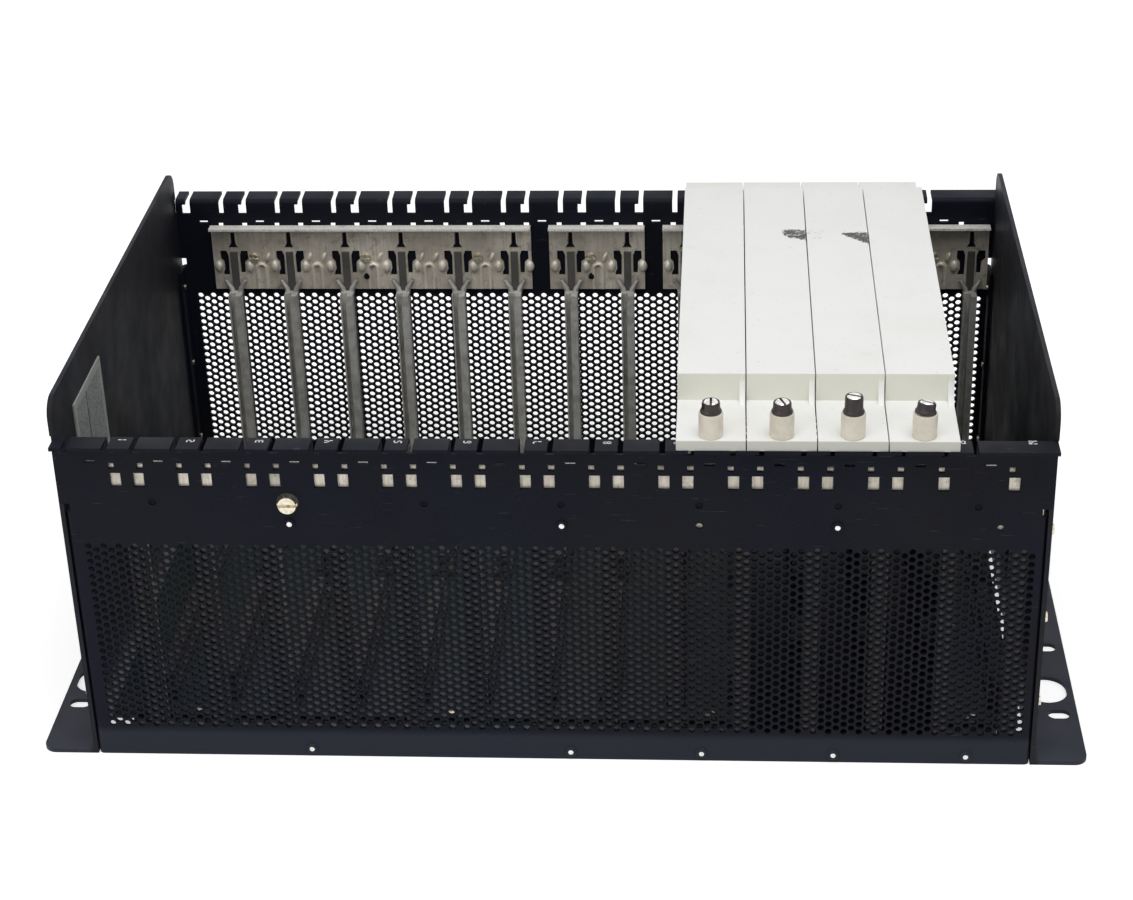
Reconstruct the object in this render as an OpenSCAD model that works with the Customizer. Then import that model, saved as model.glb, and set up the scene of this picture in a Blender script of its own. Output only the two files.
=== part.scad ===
// Subrack card cage: a folded sheet-metal rack cage for fourteen plug-in modules,
// four of them fitted.  It lies on its rack ears with the card mouth facing up:
// +X runs along the slots, +Y from the front vent plate to the back one, and +Z
// out of the mouth.  Z = 0 is the rear face of the ears.

/* [Cage] */
// Width over the two side panels
cage_w = 434; // [430:1:444]
// Overall width over the rack ears
rack_w = 482.6; // [480:0.1:484]
// Depth over the outer faces of the two vent plates
cage_d = 266; // [262:1:270]
// Height of the card mouth above the ears
mouth_h = 167.5; // [160:0.5:185]
// How far the side panels stand above the mouth
side_rise = 16.5; // [10:0.5:24]
// Thickness of the side panels and their ears
side_t = 2; // [1.5:0.1:2.5]
// Thickness of the vent plates
plate_t = 1.6; // [1.2:0.1:2]
// Radius of the side panels' free top corners
side_corner_r = 9; // [4:1:14]

/* [Slots] */
// Number of card positions
slot_count = 14; // [14:1:14]
// Distance from one card guide to the next
slot_pitch = 30; // [29:0.1:30.4]
// From the left outer face to the first guide line
first_slot_x = 31.8; // [30:0.1:36]

/* [Card mouth] */
// How far each lip is folded outwards
lip_w = 10.8; // [8:0.1:14]
// Inside radius of the lip's fold
lip_bend_r = 0.8; // [0.5:0.1:1.5]
// Width of the plain notches in the lip
notch_w = 2.6; // [2:0.1:4]
// Depth of the notches below the mouth
notch_depth = 7.8; // [6:0.1:9]
// From a guide line to its plain notch, leftwards
plain_notch_dx = 5.6; // [5:0.1:8]
// From a guide line to its hooked notch, rightwards
hook_notch_dx = 6.6; // [5:0.1:8]

/* [Vent field] */
// Diameter of the vent holes
vent_hole_d = 4.8; // [2.5:0.1:6]
// Distance between vent holes in one column
vent_pitch = 11.9; // [11.9:0.1:16]
// Height of the lowest row of vent holes
vent_low_z = 17; // [15:1:30]
// From the guide strips' lower edge down to the highest row of vent holes
vent_top_gap = 4.2; // [3:0.1:20]

/* [Guide strips] */
// Sheet thickness of the guide strips
strip_t = 1.2; // [0.8:0.1:1.5]
// Height of a strip's web
strip_h = 37; // [34:0.5:38]
// Width of a strip's top flange, measured from the vent plate
strip_flange_w = 7; // [5:0.1:7.4]
// From the mouth down to the strips' top
strip_drop = 13.8; // [12:0.1:16]

/* [Card guides] */
// Width of one card guide
guide_w = 6.7; // [6.4:0.1:8]
// Depth of one card guide, from the vent plate inwards
guide_d = 10.9; // [9:0.1:12]
// Width of the groove that takes the board
groove_w = 2.2; // [2:0.1:2.4]
// Depth of the groove
groove_d = 4.1; // [3.5:0.1:5]

/* [Modules] */
// Thickness of a module's circuit board
board_t = 1.6; // [1.4:0.1:1.8]
// Height of a module's end shelf above the mouth
shelf_h = 4.6; // [3.5:0.1:7]
// Height of the raised cover above the end shelf
raise_h = 12.9; // [8:0.1:20]
// Length of the end shelf that carries the latch
shelf_l = 38; // [30:0.5:50]
// Wall thickness of the cover
cover_wall = 1; // [0.8:0.1:1.2]
// Gap between one module cover and the next
module_gap = 0.5; // [0.3:0.1:1]
// Diameter of a latch post
post_d = 10.5; // [9:0.1:12]
// Height of a latch post
post_h = 11; // [8:0.5:14]
// Diameter of a latch cap
cap_d = 8.4; // [7:0.1:9]
// Height of a latch cap
cap_h = 8; // [6:0.5:11]

/* [Rack ears] */
// Distance between the left and right rack slots
rack_slot_dx = 465.1; // [464:0.1:466]
// Length of one rack slot
rack_slot_l = 10.3; // [9:0.1:11]
// Width of one rack slot
rack_slot_w = 7; // [6.5:0.1:8]
// Distance between the outer pairs of rack slots
rack_outer_dy = 190.5; // [185:0.1:195]
// Distance between the inner pairs of rack slots
rack_inner_dy = 76.2; // [70:0.1:80]
// Width of the cable hole in each ear
ear_hole_w = 19; // [14:0.5:19.5]
// Length of the cable hole in each ear
ear_hole_l = 22; // [20:0.5:28]

/* [Backplane] */
// Thickness of the backplane board
backplane_t = 2.4; // [1.6:0.1:3.2]
// Height of the rails' ledge that carries the backplane
ledge_z = 9; // [8:0.5:12]
// Height of a backplane socket's base
socket_base_h = 4; // [3:0.5:6]
// Height of the socket's tongue, which the board's plug fits over
socket_tongue_h = 7; // [5:0.5:9]
// Length of a backplane socket
socket_l = 95; // [80:1:100]

/* [Hidden] */
$fn = 48;
eps = 0.01;
fit = 0.1;                                // gap between faces that are only set against each other
run = 0.3;                                // gap beside parts that slide
half_w = cage_w / 2;
half_d = cage_d / 2;
side_top = mouth_h + side_rise;
inner_y = half_d - plate_t;               // inner face of the vent plates
plate_half = half_w - side_t - 0.3;       // half width of a vent plate between the side panels
shoulder_z = mouth_h - 33.5;              // above this a vent plate covers the side panels' edges
lip_bend_out = lip_bend_r + plate_t;
lip_left = -half_w + 11.5;
lip_right = half_w - 0.5;
strip_top = mouth_h - strip_drop;
strip_low = strip_top - strip_h;
guide_top = strip_low;
guide_dx = -0.7;                          // a guide's middle, from its guide line
board_dx = -(module_gap / 2 + cover_wall + fit + board_t / 2);  // a board's middle, from its guide line
fixing_dx = 10;                           // strip screws and rivets, from their guide line
strip_screw_z = strip_top - 18.7;
strip_rivet_z = strip_top - 29.2;
rail_rivet_z = ledge_z - 4.8;
rail_t = 1.5;
screw_d = 3;
screw_hole_d = 3.4;
rivet_d = 3.2;
vent_dx = vent_pitch * sqrt(3) / 2;       // distance between columns of vent holes
vent_left = -half_w + 10.5;
vent_span = cage_w - 19;
board_half = inner_y - guide_d + groove_d - 0.5;
backplane_top = ledge_z + backplane_t;
socket_top = backplane_top + socket_base_h + socket_tongue_h;
socket_w = 10;
socket_y = socket_l / 2 + 8;              // middle of a socket, from the cage's middle
tongue_w = 5.6;
plug_wall = 1.6;
plug_low = backplane_top + socket_base_h + run;
board_low = socket_top + run;
modules_at = [10, 11, 12, 13];
slots = [for (k = [1:slot_count]) k];
fixings = [for (k = [1:2:slot_count]) k];
strip_ranges = [["left", 1, 6], ["middle", 7, 8], ["right", 9, 14]];

// X of guide line k, counted from the left; k = 0 is the line before the first guide
function slot_x(k) = -half_w + first_slot_x + slot_pitch * (k - 1);
// Middle of the module whose board runs in guide k
function module_x(k) = slot_x(k) - slot_pitch / 2;

// A 2-D shape drawn in X and Z, made into a sheet that starts at y
module sheet_at(y, t) {
  translate([0, y + t, 0])
    rotate([90, 0, 0])
      linear_extrude(t)
        children();
}

// A 2-D profile drawn in Y and Z, run along X from x0 to x1
module run_along_x(x0, x1) {
  translate([x0, 0, 0])
    rotate([90, 0, 90])
      linear_extrude(x1 - x0)
        children();
}

// Rectangle given by its left, right, lower and upper edges
module rect(x0, x1, z0, z1) {
  translate([x0, z0])
    square([x1 - x0, z1 - z0]);
}

// Block given by its two corners
module block(low, high) {
  translate(low)
    cube(high - low);
}

// Straight slot with round ends, l long along X and w wide
module long_slot(l, w) {
  square([l - w, w], center = true);
  for (s = [-1, 1])
    translate([s * (l - w) / 2, 0])
      circle(d = w);
}

// Everything at the front is repeated at the back
module at_back() {
  mirror([0, 1, 0])
    children();
}

// ---- Side panels -------------------------------------------------------------

module side_wall_outline() {
  r = side_corner_r;
  difference() {
    rect(-half_d, half_d, 0, side_top);
    for (s = [-1, 1]) {
      // free top corner, rounded
      translate([s * (half_d - r), side_top - r])
        difference() {
          translate([s > 0 ? 0 : -r - 1, 0])
            square(r + 1);
          circle(r);
        }
      // step behind the wide upper part of each vent plate
      translate([s * half_d, (shoulder_z + mouth_h) / 2])
        square([2 * (plate_t + fit), mouth_h - shoulder_z + 2 * fit], center = true);
    }
  }
}

module ear_outline() {
  ear_out = rack_w / 2;
  r = 6;
  slot_x0 = rack_slot_dx / 2;
  difference() {
    union() {
      rect(half_w - side_t, ear_out - r, -half_d, half_d);
      rect(ear_out - r - 1, ear_out, -half_d + r, half_d - r);
      for (s = [-1, 1])
        translate([ear_out - r, s * (half_d - r)])
          circle(r);
    }
    for (y = [rack_outer_dy / 2, rack_inner_dy / 2], s = [-1, 1])
      translate([slot_x0, s * y])
        long_slot(rack_slot_l, rack_slot_w);
    for (s = [-1, 1])
      translate([ear_out - 2.8 - ear_hole_w / 2, s * (half_d - 58.2)])
        rotate(90)
          long_slot(ear_hole_l, ear_hole_w);
  }
}

// One folded sheet: the wall and the rack ear.  Drawn for the right side.
module side_panel() {
  difference() {
    union() {
      translate([half_w - side_t, 0, 0])
        rotate([90, 0, 90])
          linear_extrude(side_t)
            side_wall_outline();
      linear_extrude(side_t)
        ear_outline();
    }
    side_screw_places()
      cylinder(d = screw_hole_d, h = 4 * side_t, center = true);
  }
}

// Places of the screws that hold the right side panel to the vent plates' flanges
module side_screw_places() {
  for (s = [-1, 1], z = [30, 75, shoulder_z - 14])
    translate([half_w - side_t, s * (inner_y - 6), z])
      rotate([0, 90, 0])
        children();
}

module left_side_panel() {
  color([0.11, 0.12, 0.15])
    mirror([1, 0, 0])
      side_panel();
}

module right_side_panel() {
  color([0.11, 0.12, 0.15])
    side_panel();
}

// ---- Vent plates -------------------------------------------------------------

module plate_outline() {
  rect(-plate_half, plate_half, 0, shoulder_z + 1);
  rect(-half_w, half_w, shoulder_z, mouth_h - notch_depth);
  rect(lip_left, half_w, shoulder_z, mouth_h - lip_bend_out);
}

// Openings beside guide line k, through which the guide strip shows
module plate_windows(k) {
  x = slot_x(k);
  low = strip_top - 11.2;
  high = strip_top - 2.2;
  rect(x - 7.6, x - 2.8, low, low + 7);
  rect(x - 7.8, x - 5.2, high, high + 3);
  rect(x - 17.8, x - 13.3, strip_top + 0.8, strip_top + 2.1);
  if (k < slot_count - 1) {
    rect(x + 2.7, x + 7.5, low, low + 7);
    rect(x + 4.8, x + 7.6, high, high + 3);
  }
}

// Notches of the lip where they run down into the plate
module plate_notches() {
  low = mouth_h - notch_depth;
  top = mouth_h - lip_bend_out + eps;
  for (k = [1:slot_count - 1])
    rect(slot_x(k) - plain_notch_dx - notch_w / 2, slot_x(k) - plain_notch_dx + notch_w / 2, low, top);
  for (k = [0:slot_count - 1])
    rect(slot_x(k) + hook_notch_dx - 3.1, slot_x(k) + hook_notch_dx + 1.2, low, top);
}

module vent_holes() {
  columns = floor(vent_span / vent_dx);
  rows = floor((strip_low - vent_top_gap - vent_low_z) / vent_pitch);
  for (i = [0:columns])
    for (j = [0:rows - i % 2])
      translate([vent_left + i * vent_dx, vent_low_z + (j + (i % 2) / 2) * vent_pitch])
        circle(d = vent_hole_d, $fn = 24);
}

module plate_fixing_holes() {
  for (k = fixings)
    translate([slot_x(k) + fixing_dx, strip_screw_z])
      circle(d = k == 3 ? screw_hole_d + 1 : screw_hole_d);
  for (k = [3, 7, 11])
    translate([slot_x(k) + fixing_dx, strip_rivet_z])
      circle(d = rivet_d);
  for (k = [3, 7, 9, 11, 13])
    translate([slot_x(k) + fixing_dx + 1, rail_rivet_z])
      circle(d = rivet_d);
  // spare holes
  for (p = [[9, fixing_dx], [14, -fixing_dx]])
    translate([slot_x(p[0]) + p[1], strip_rivet_z])
      circle(d = screw_d);
}

module lip_profile() {
  y0 = -inner_y - lip_bend_out;
  z0 = mouth_h - lip_bend_out;
  rect(-half_d - lip_w, y0, mouth_h - plate_t, mouth_h);
  intersection() {
    translate([y0, z0])
      difference() {
        circle(lip_bend_out);
        circle(lip_bend_r);
      }
    rect(y0, -inner_y, z0, mouth_h);
  }
}

module lip() {
  difference() {
    run_along_x(lip_left, lip_right)
      lip_profile();
    for (k = [1:slot_count - 1])
      translate([slot_x(k) - plain_notch_dx, -half_d, mouth_h])
        cube([notch_w, 3 * lip_w, 3 * lip_bend_out], center = true);
    for (k = [0:slot_count - 1])
      translate([slot_x(k) + hook_notch_dx, -half_d, mouth_h])
        cube([2.4, 3 * lip_w, 3 * lip_bend_out], center = true);
  }
}

// One folded sheet: the perforated wall, its notched lip and its two side flanges
module vent_plate() {
  difference() {
    union() {
      sheet_at(-half_d, plate_t)
        difference() {
          plate_outline();
          for (k = slots)
            plate_windows(k);
          plate_notches();
          vent_holes();
          plate_fixing_holes();
        }
      lip();
      for (s = [-1, 1])
        translate([s * (plate_half - plate_t / 2), -inner_y + 6 - eps, (shoulder_z - 4) / 2])
          cube([plate_t, 12 + eps, shoulder_z - 4], center = true);
    }
    for (m = [0, 1])
      mirror([m, 0, 0])
        side_screw_places()
          cylinder(d = screw_hole_d, h = 8 * plate_t, center = true);
  }
}

module front_vent_plate() {
  color([0.12, 0.13, 0.16])
    vent_plate();
}

module back_vent_plate() {
  color([0.12, 0.13, 0.16])
    at_back()
      vent_plate();
}

// ---- Guide strips ------------------------------------------------------------

module strip_windows(k) {
  x = slot_x(k);
  // catch for the guide's tongue: a T
  rect(x - 4, x + 2.6, strip_top - 11.6, strip_top - 9.6);
  rect(x - 1.8, x + 0.4, strip_top - 14.6, strip_top - 11.6 + eps);
  rect(x - 8.8, x - 4.3, strip_top - 26, strip_top - 15);
  rect(x + 2.9, x + 7.2, strip_top - 22.5, strip_top - 15);
}

// Folded strip that carries guides first to last
module guide_strip(first, last) {
  x0 = slot_x(first) - 12;
  x1 = min(slot_x(last) + 8.4, plate_half - plate_t - fit);
  color([0.72, 0.70, 0.66]) {
    sheet_at(-inner_y, strip_t)
      difference() {
        rect(x0, x1, strip_low, strip_top);
        for (k = [first:last]) {
          strip_windows(k);
          // half-round nicks in the lower edge, beside each guide
          translate([slot_x(k) - slot_pitch / 2, strip_low])
            circle(r = 4);
        }
        for (k = fixings)
          translate([slot_x(k) + fixing_dx, strip_screw_z])
            circle(d = screw_hole_d);
        for (k = [3, 7, 11])
          translate([slot_x(k) + fixing_dx, strip_rivet_z])
            circle(d = rivet_d);
      }
    block([x0, -inner_y, strip_top - strip_t], [x1, -inner_y + strip_flange_w, strip_top]);
  }
}

// ---- Card guides -------------------------------------------------------------

module guide_section() {
  x = guide_dx;
  y_in = -inner_y + guide_d;
  g = board_dx;
  difference() {
    translate([x - guide_w / 2, -inner_y])
      square([guide_w, guide_d]);
    translate([g - groove_w / 2, y_in - groove_d])
      square([groove_w, groove_d + 1]);
    // side recesses that leave a web between the foot and the groove
    for (s = [-1, 1])
      translate([x + s * guide_w / 2, -inner_y + 3.6])
        square([2.2, 2.4], center = true);
  }
}

module card_guide(k) {
  y_in = -inner_y + guide_d;
  lead = 7;
  color([0.55, 0.55, 0.53])
    translate([slot_x(k), 0, 0])
      difference() {
        union() {
          translate([0, 0, ledge_z])
            linear_extrude(guide_top - ledge_z)
              guide_section();
          // tongue that stands up over the strip's web
          block([guide_dx - 1.9, -inner_y + strip_t, guide_top - 6],
                [guide_dx + 1.9, -inner_y + strip_t + 1.4, strip_screw_z + 3.5]);
        }
        // flared lead-in at the top of the groove
        sheet_at(y_in - groove_d, groove_d + 1)
          polygon([
            [board_dx - groove_w / 2, guide_top - lead],
            [board_dx + groove_w / 2, guide_top - lead],
            [board_dx + groove_w / 2 + 0.7, guide_top + 1],
            [board_dx - groove_w / 2 - 0.5, guide_top + 1]
          ]);
      }
}

// ---- Backplane ---------------------------------------------------------------

module backplane() {
  color([0.16, 0.36, 0.22])
    difference() {
      block([-plate_half + 4, -inner_y + 14, ledge_z],
            [plate_half - 4, inner_y - 14, backplane_top]);
      backplane_screw_places()
        cylinder(d = screw_hole_d, h = 20, center = true);
    }
}

module backplane_screw_places() {
  for (k = [1, 5, 9, 13], s = [-1, 1])
    translate([slot_x(k) + slot_pitch / 2, s * (inner_y - 17), backplane_top])
      children();
}

// Angle that is riveted inside the foot of a vent plate and carries the backplane
module backplane_rail() {
  leg = 20;
  difference() {
    run_along_x(-plate_half + 14, plate_half - 14) {
      rect(-inner_y, -inner_y + rail_t, 0.5, ledge_z);
      rect(-inner_y, -inner_y + leg, ledge_z - rail_t, ledge_z);
    }
    backplane_screw_places()
      cylinder(d = screw_hole_d, h = 20, center = true);
    rail_rivet_places()
      cylinder(d = rivet_d, h = 20, center = true);
  }
}

module backplane_rails() {
  color([0.70, 0.70, 0.68]) {
    backplane_rail();
    at_back()
      backplane_rail();
  }
}

// Two sockets for each card position: a base with a tongue along it
module backplane_sockets() {
  color([0.83, 0.79, 0.66])
    for (k = slots, s = [-1, 1])
      translate([slot_x(k) + board_dx, s * socket_y, backplane_top]) {
        translate([-socket_w / 2, -socket_l / 2, 0])
          cube([socket_w, socket_l, socket_base_h]);
        translate([-tongue_w / 2, -socket_l / 2 + 3, 0])
          cube([tongue_w, socket_l - 6, socket_base_h + socket_tongue_h]);
      }
}

// ---- Modules -----------------------------------------------------------------

module module_cover(k) {
  x0 = slot_x(k - 1) + module_gap / 2;
  x1 = slot_x(k) - module_gap / 2;
  raise_x1 = x1 - 2.6;
  end_y = half_d + lip_w - 0.5;
  raise_y = end_y - shelf_l;
  shelf_z = mouth_h + shelf_h;
  top_z = shelf_z + raise_h;
  w = cover_wall;
  chamfer = 1;
  color([0.93, 0.93, 0.91])
    difference() {
      union() {
        block([x0, -end_y, mouth_h], [x1, end_y, shelf_z]);
        sheet_at(-raise_y, 2 * raise_y)
          polygon([
            [x0, shelf_z - eps], [raise_x1, shelf_z - eps],
            [raise_x1, top_z - chamfer], [raise_x1 - chamfer, top_z],
            [x0 + chamfer, top_z], [x0, top_z - chamfer]
          ]);
      }
      block([x0 + w, -end_y + w, mouth_h - 1], [x1 - w, end_y - w, shelf_z - w]);
      block([x0 + w, -raise_y + w, mouth_h], [raise_x1 - w, raise_y - w, top_z - w]);
      // hole for the latch
      translate([module_x(k), -end_y + post_d / 2 + 0.6, shelf_z])
        cylinder(d = 4.4, h = 4 * w, center = true);
    }
}

module module_board(k) {
  x0 = slot_x(k) + board_dx - board_t / 2;
  shelf_under = mouth_h + shelf_h - cover_wall;
  color([0.20, 0.42, 0.26]) {
    block([x0, -board_half, board_low], [x0 + board_t, board_half, shelf_under - fit]);
    for (s = [-1, 1])
      translate([slot_x(k) + board_dx, s * socket_y, 0])
        board_plug();
    // components on the board's left face
    for (y = [-84:42:84], z = [board_low + 26:36:mouth_h - 18])
      block([x0 - 5, y - 11, z - 7], [x0 + eps, y + 11, z + 7]);
  }
}

// Shell on the board's lower edge that fits over a backplane socket's tongue
module board_plug() {
  in_w = tongue_w + 2 * run;
  in_l = socket_l - 6 + 2 * run;
  difference() {
    block([-in_w / 2 - plug_wall, -in_l / 2 - plug_wall, plug_low],
          [in_w / 2 + plug_wall, in_l / 2 + plug_wall, board_low + 4]);
    block([-in_w / 2, -in_l / 2, plug_low - 1], [in_w / 2, in_l / 2, board_low]);
  }
}

module latch_place(k) {
  end_y = half_d + lip_w - 0.5;
  translate([module_x(k), -end_y + post_d / 2 + 0.6, mouth_h + shelf_h])
    children();
}

// Turned collar with a flange, its stem held in the cover's shelf
module latch_post(k) {
  color([0.90, 0.86, 0.72])
    latch_place(k)
      difference() {
        union() {
          cylinder(d = post_d, h = post_h);
          translate([0, 0, -cover_wall - 1])
            cylinder(d = 4, h = cover_wall + 1 + eps);
        }
        translate([0, 0, post_h - 4])
          cylinder(d = 5.4, h = 5);
      }
}

// Turned cap with a flared foot, a ring of grip notches and a driver slot
module latch_cap(k) {
  foot = 1.6;
  color([0.10, 0.09, 0.09])
    latch_place(k)
      translate([0, 0, post_h + 0.15])
        difference() {
          union() {
            cylinder(d = cap_d + 0.9, h = foot);
            cylinder(d = cap_d, h = cap_h);
            translate([0, 0, -3.5])
              cylinder(d = 5.2, h = 4);
          }
          for (a = [0:30:330])
            rotate(a)
              translate([cap_d / 2 + 0.35, 0, foot + 1])
                cylinder(d = 1.3, h = cap_h, $fn = 16);
          translate([0, 0, cap_h])
            cube([cap_d + 2, 1.4, 2.4], center = true);
        }
}

// ---- Fasteners and label -----------------------------------------------------

module rail_rivet_places() {
  for (k = [3, 7, 9, 11, 13])
    translate([slot_x(k) + fixing_dx + 1, -half_d, rail_rivet_z])
      rotate([90, 0, 0])
        children();
}

module strip_rivet_places() {
  for (k = [3, 7, 11])
    translate([slot_x(k) + fixing_dx, -half_d, strip_rivet_z])
      rotate([90, 0, 0])
        children();
}

// Pop rivet, its head on z = 0, gripping g of metal below
module rivet(g) {
  translate([0, 0, -g - 0.8])
    cylinder(d = rivet_d - 0.2, h = g + 0.8 + eps);
  cylinder(d1 = 5.6, d2 = 3.4, h = 1.2);
  translate([0, 0, -g - 1.4])
    cylinder(d = 4.4, h = 1.4 - eps);
}

module cage_rivets() {
  color([0.80, 0.80, 0.78])
    for (m = [0, 1])
      mirror([0, m, 0]) {
        rail_rivet_places()
          rivet(plate_t + rail_t);
        strip_rivet_places()
          rivet(plate_t + strip_t);
      }
}

// Pan-head screw, its head on z = 0, with a driver slot
module screw(d, head_d, head_h, l) {
  difference() {
    union() {
      cylinder(d1 = head_d, d2 = head_d * 0.8, h = head_h);
      translate([0, 0, -l])
        cylinder(d = d, h = l + eps);
    }
    translate([0, 0, head_h])
      cube([head_d, head_d * 0.14, head_h], center = true);
  }
}

module cage_screws() {
  color([0.74, 0.70, 0.60]) {
    for (m = [0, 1])
      mirror([m, 0, 0])
        side_screw_places()
          translate([0, 0, side_t])
            screw(screw_d, 5.6, 1.8, side_t + 2.6);
    // strip screws, driven from inside the cage
    for (m = [0, 1], k = fixings)
      if (m == 1 || k != 3)
        mirror([0, m, 0])
          translate([slot_x(k) + fixing_dx, -inner_y + strip_t, strip_screw_z])
            rotate([-90, 0, 0])
              screw(screw_d, 5.6, 1.6, plate_t + strip_t - 0.4);
    // the one large screw, driven from the front
    translate([slot_x(3) + fixing_dx, -half_d, strip_screw_z])
      rotate([90, 0, 0])
        screw(screw_d, 10, 3, plate_t + strip_t + 1);
    backplane_screw_places()
      screw(screw_d, 5.6, 1.8, backplane_t + 2.4);
  }
}

module label_plate() {
  color([0.70, 0.71, 0.70])
    translate([-half_w + side_t, -100, mouth_h - 62])
      cube([0.8, 50, 60]);
}

// ---- Assembly ----------------------------------------------------------------

left_side_panel();
right_side_panel();
front_vent_plate();
back_vent_plate();
for (s = strip_ranges) {
  guide_strip(s[1], s[2]);
  at_back() guide_strip(s[1], s[2]);
}
for (k = slots) {
  card_guide(k);
  at_back() card_guide(k);
}
backplane();
backplane_sockets();
backplane_rails();
for (k = modules_at) {
  module_cover(k);
  module_board(k);
  latch_post(k);
  latch_cap(k);
}
cage_screws();
cage_rivets();
label_plate();
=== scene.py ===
"""Looks of the subrack card cage: finely perforated folded sheet metal, formed guide strips,
worn black paint, moulded guides and white plug-in modules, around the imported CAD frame."""

import math

import bmesh
import bpy
from mathutils import Matrix, Vector
from mathutils.geometry import delaunay_2d_cdt


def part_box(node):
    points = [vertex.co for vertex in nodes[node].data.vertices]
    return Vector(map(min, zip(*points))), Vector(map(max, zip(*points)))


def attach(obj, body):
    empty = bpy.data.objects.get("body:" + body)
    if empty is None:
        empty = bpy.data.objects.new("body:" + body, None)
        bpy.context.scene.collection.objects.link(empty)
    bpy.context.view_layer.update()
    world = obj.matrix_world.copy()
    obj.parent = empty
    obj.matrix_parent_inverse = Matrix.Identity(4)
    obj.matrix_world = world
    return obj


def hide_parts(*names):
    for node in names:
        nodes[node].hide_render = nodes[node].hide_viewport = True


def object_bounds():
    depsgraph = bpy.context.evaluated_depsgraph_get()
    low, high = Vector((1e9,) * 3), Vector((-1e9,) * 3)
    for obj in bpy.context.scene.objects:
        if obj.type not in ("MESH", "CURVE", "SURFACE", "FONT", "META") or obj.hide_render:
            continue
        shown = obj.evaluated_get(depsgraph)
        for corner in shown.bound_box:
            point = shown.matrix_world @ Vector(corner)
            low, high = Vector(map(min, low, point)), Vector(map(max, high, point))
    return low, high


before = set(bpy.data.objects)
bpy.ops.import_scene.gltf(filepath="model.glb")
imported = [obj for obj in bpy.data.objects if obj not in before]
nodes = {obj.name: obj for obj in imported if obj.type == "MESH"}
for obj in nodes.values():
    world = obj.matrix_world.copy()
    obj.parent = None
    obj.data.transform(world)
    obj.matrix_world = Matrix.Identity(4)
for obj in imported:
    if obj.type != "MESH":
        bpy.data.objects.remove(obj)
cad_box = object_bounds()

MM = 0.001

# ---- Sizes, from the frame where it holds them ---------------------------------

plate_low, plate_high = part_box("front_vent_plate")
side_low, side_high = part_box("right_side_panel")
strip_low_corner, strip_high_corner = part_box("front_strip_left")

HALF_W = plate_high.x
LIP_EDGE = -plate_low.y
MOUTH_H = plate_high.z
SIDE_INNER = side_low.x
HALF_D = side_high.y
INNER_Y = -strip_low_corner.y
PLATE_T = HALF_D - INNER_Y
STRIP_LOW = strip_low_corner.z
STRIP_TOP = strip_high_corner.z
STRIP_FLANGE = strip_high_corner.y - strip_low_corner.y
SLOT_COUNT = 14
MODULES = [10, 11, 12, 13]
GUIDE_DX = -0.7 * MM


def slot_x(k):
    """X of guide line k; lines before the first guide follow from the pitch."""
    low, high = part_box("front_guide_1")
    first = (low.x + high.x) / 2 - GUIDE_DX
    low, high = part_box(f"front_guide_{SLOT_COUNT}")
    last = (low.x + high.x) / 2 - GUIDE_DX
    return first + (last - first) / (SLOT_COUNT - 1) * (k - 1)


SLOTS = range(1, SLOT_COUNT + 1)

# vent plate
PLATE_HALF = SIDE_INNER - 0.3 * MM
SHOULDER_Z = MOUTH_H - 33.5 * MM
BEND_IN = 0.8 * MM
NOTCH_Z = MOUTH_H - 7.8 * MM
VENT_HOLE = 3.05 * MM
VENT_PITCH = 11.9 * MM / 3
VENT_SIDES = 12
VENT_LEFT = -HALF_W + 10.5 * MM
VENT_LOW = 17 * MM
VENT_COLUMNS = 122
VENT_ROWS = 25
BACK_FIRST_ROW = 2                       # the back plate starts its vent field higher
NOTCH_DX = 5.6 * MM                      # plain notch, left of its guide line
NOTCH_HALF = 1.3 * MM
HOOK_DX = 6.6 * MM                       # hooked notch, right of its guide line
HOOK_HALF = 1.2 * MM
HOOK_REACH = 3.1 * MM
FIXING_DX = 10 * MM
FIXING_SIDES = 20
SCREW_HOLE = 3.4 * MM
BIG_SCREW_HOLE = 4.4 * MM
BIG_SCREW_SLOT = 3
RIVET_HOLE = 3.2 * MM
STRIP_RIVETS = (3, 7, 11)                # guide lines left of the rivets through the strips
FOOT_RIVETS = (3, 7, 9, 11, 13)          # guide lines left of the rivets in the plates' feet
FOOT_RIVET_Z = 4.2 * MM
STRIP_SCREW_Z = STRIP_TOP - 18.7 * MM
STRIP_RIVET_Z = STRIP_TOP - 29.2 * MM
STRIP_T = 1.2 * MM
FLANGE_DEPTH = 12 * MM

# module covers
SHELF_H = 4.6 * MM
SHELF_L = 38 * MM
COVER_T = 1 * MM
RAMP_W = 2.6 * MM
RAMP_L = 7 * MM


# ---- Materials --------------------------------------------------------------------

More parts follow.
